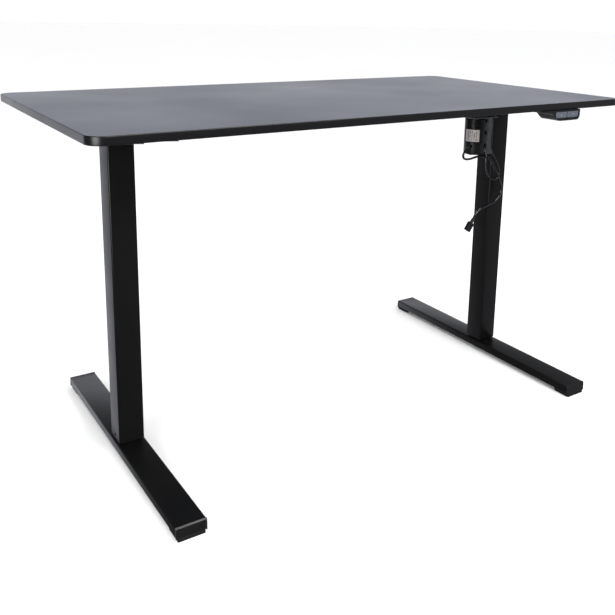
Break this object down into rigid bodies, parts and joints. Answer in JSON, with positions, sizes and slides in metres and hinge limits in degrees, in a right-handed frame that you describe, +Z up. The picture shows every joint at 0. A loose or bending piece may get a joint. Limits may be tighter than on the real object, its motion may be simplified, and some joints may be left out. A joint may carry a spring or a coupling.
{
  "type": "height adjustable standing desk",
  "caption": "Sit-stand desk: rounded dark board on two telescopic square legs with T feet, a vertical motor at the right leg, a hex drive shaft and a two-key handset.",
  "frame": {"origin": "on the floor, at the middle of the desk's overall length and depth", "axes": "+X along the board to the user's right, +Y away from the user, +Z up"},
  "size_m": [1.3, 0.75, 0.728],
  "materials": {
    "laminate": "melamine-faced particle board, charcoal, fine satin texture",
    "frame_black": "black powder coat, fine texture, satin",
    "plastic_black": "moulded, satin",
    "key_grey": "moulded, satin",
    "steel": "turned and ground",
    "zinc": "zinc plated",
    "brass": "turned",
    "acetal": "moulded, waxy",
    "cast_alloy": "die cast",
    "ferrite": "sintered ferrite, matt",
    "rotor_copper": "steel stack with enamelled copper windings",
    "circuit": "glass-epoxy board with solder mask",
    "label_paper": "coated label stock, no lettering",
    "cord_pvc": "PVC sheath, satin"
  },
  "bodies": {
    "left_base": {"foot_tube_left": "frame_black", "foot_cap_front_left": "plastic_black", "foot_cap_rear_left": "plastic_black", "inner_column_left": "frame_black", "foot_block_left": "steel", "foot_bolt_front_left": "zinc", "foot_bolt_rear_left": "zinc", "nut_carrier_left": "acetal", "spindle_nut_left": "brass"},
    "right_base": {"foot_tube_right": "frame_black", "foot_cap_front_right": "plastic_black", "foot_cap_rear_right": "plastic_black", "inner_column_right": "frame_black", "foot_block_right": "steel", "foot_bolt_front_right": "zinc", "foot_bolt_rear_right": "zinc", "nut_carrier_right": "acetal", "spindle_nut_right": "brass"},
    "top": {"board": "laminate", "outer_column_left": "frame_black", "outer_column_right": "frame_black", "lower_glide_left": "acetal", "lower_glide_right": "acetal", "gear_head_left": "cast_alloy", "gear_head_right": "cast_alloy", "gear_head_lid_left": "cast_alloy", "gear_head_lid_right": "cast_alloy", "spindle_bearing_left": "steel", "spindle_bearing_right": "steel", "support_arm_left": "frame_black", "support_arm_right": "frame_black", "rail_front": "frame_black", "rail_rear": "frame_black", "motor_can": "frame_black", "motor_magnets": "ferrite", "motor_cap": "plastic_black", "control_board": "circuit", "gearbox_housing": "plastic_black", "gearbox_lid": "plastic_black", "motor_bracket": "zinc", "motor_label": "label_paper", "handset_housing": "plastic_black", "handset_lid": "plastic_black", "handset_board": "circuit", "power_cord": "cord_pvc", "handset_cord": "cord_pvc", "cord_relief": "plastic_black", "cord_connector": "plastic_black"},
    "spindle_left_turning": {"spindle_left": "steel", "spindle_gear_left": "steel"},
    "spindle_right_turning": {"spindle_right": "steel", "spindle_gear_right": "steel"},
    "drive_line": {"drive_shaft": "steel", "drive_pinion_left": "steel", "drive_pinion_right": "steel", "worm_wheel": "brass"},
    "rotor": {"motor_rotor": "rotor_copper", "worm": "steel"},
    "key_up": {"key_up": "key_grey"},
    "key_down": {"key_down": "key_grey"}
  },
  "joints": [
    {"name": "lift", "type": "slide", "parent": "left_base", "child": "top", "axis": [0, 0, 1], "range_m": [0, 0.45]},
    {"name": "motor_spin", "type": "hinge", "parent": "top", "child": "rotor", "pos_m": [0.426, -0.056, 0.62], "axis": [0, 0, 1], "range_deg": [0, 324001]},
    {"name": "right_leg_extend", "type": "slide", "parent": "top", "child": "right_base", "axis": [0, 0, -1], "range_m": [0, 0.45]},
    {"name": "spindle_left_spin", "type": "hinge", "parent": "top", "child": "spindle_left_turning", "pos_m": [-0.513, -0.036, 0.4], "axis": [0, 0, 1], "range_deg": [0, 32400.1]},
    {"name": "spindle_right_spin", "type": "hinge", "parent": "top", "child": "spindle_right_turning", "pos_m": [0.513, -0.036, 0.4], "axis": [0, 0, 1], "range_deg": [-32400.1, 0]},
    {"name": "drive_shaft_spin", "type": "hinge", "parent": "top", "child": "drive_line", "pos_m": [0, -0.036, 0.692], "axis": [1, 0, 0], "range_deg": [0, 32400.1]},
    {"name": "key_up_press", "type": "slide", "parent": "top", "child": "key_up", "axis": [0, 1, 0], "range_m": [0, 0.0012], "stiffness_N_per_m": 900, "springref_m": -0.0005},
    {"name": "key_down_press", "type": "slide", "parent": "top", "child": "key_down", "axis": [0, 1, 0], "range_m": [0, 0.0012], "stiffness_N_per_m": 900, "springref_m": -0.0005}
  ],
  "couplings": [
    {"joint": "right_leg_extend", "follows": "lift", "ratio": 1},
    {"joint": "motor_spin", "follows": "lift", "rad_per_m": 12566},
    {"joint": "spindle_left_spin", "follows": "lift", "rad_per_m": 1256.6},
    {"joint": "spindle_right_spin", "follows": "lift", "rad_per_m": -1256.6},
    {"joint": "drive_shaft_spin", "follows": "lift", "rad_per_m": 1256.6}
  ]
}
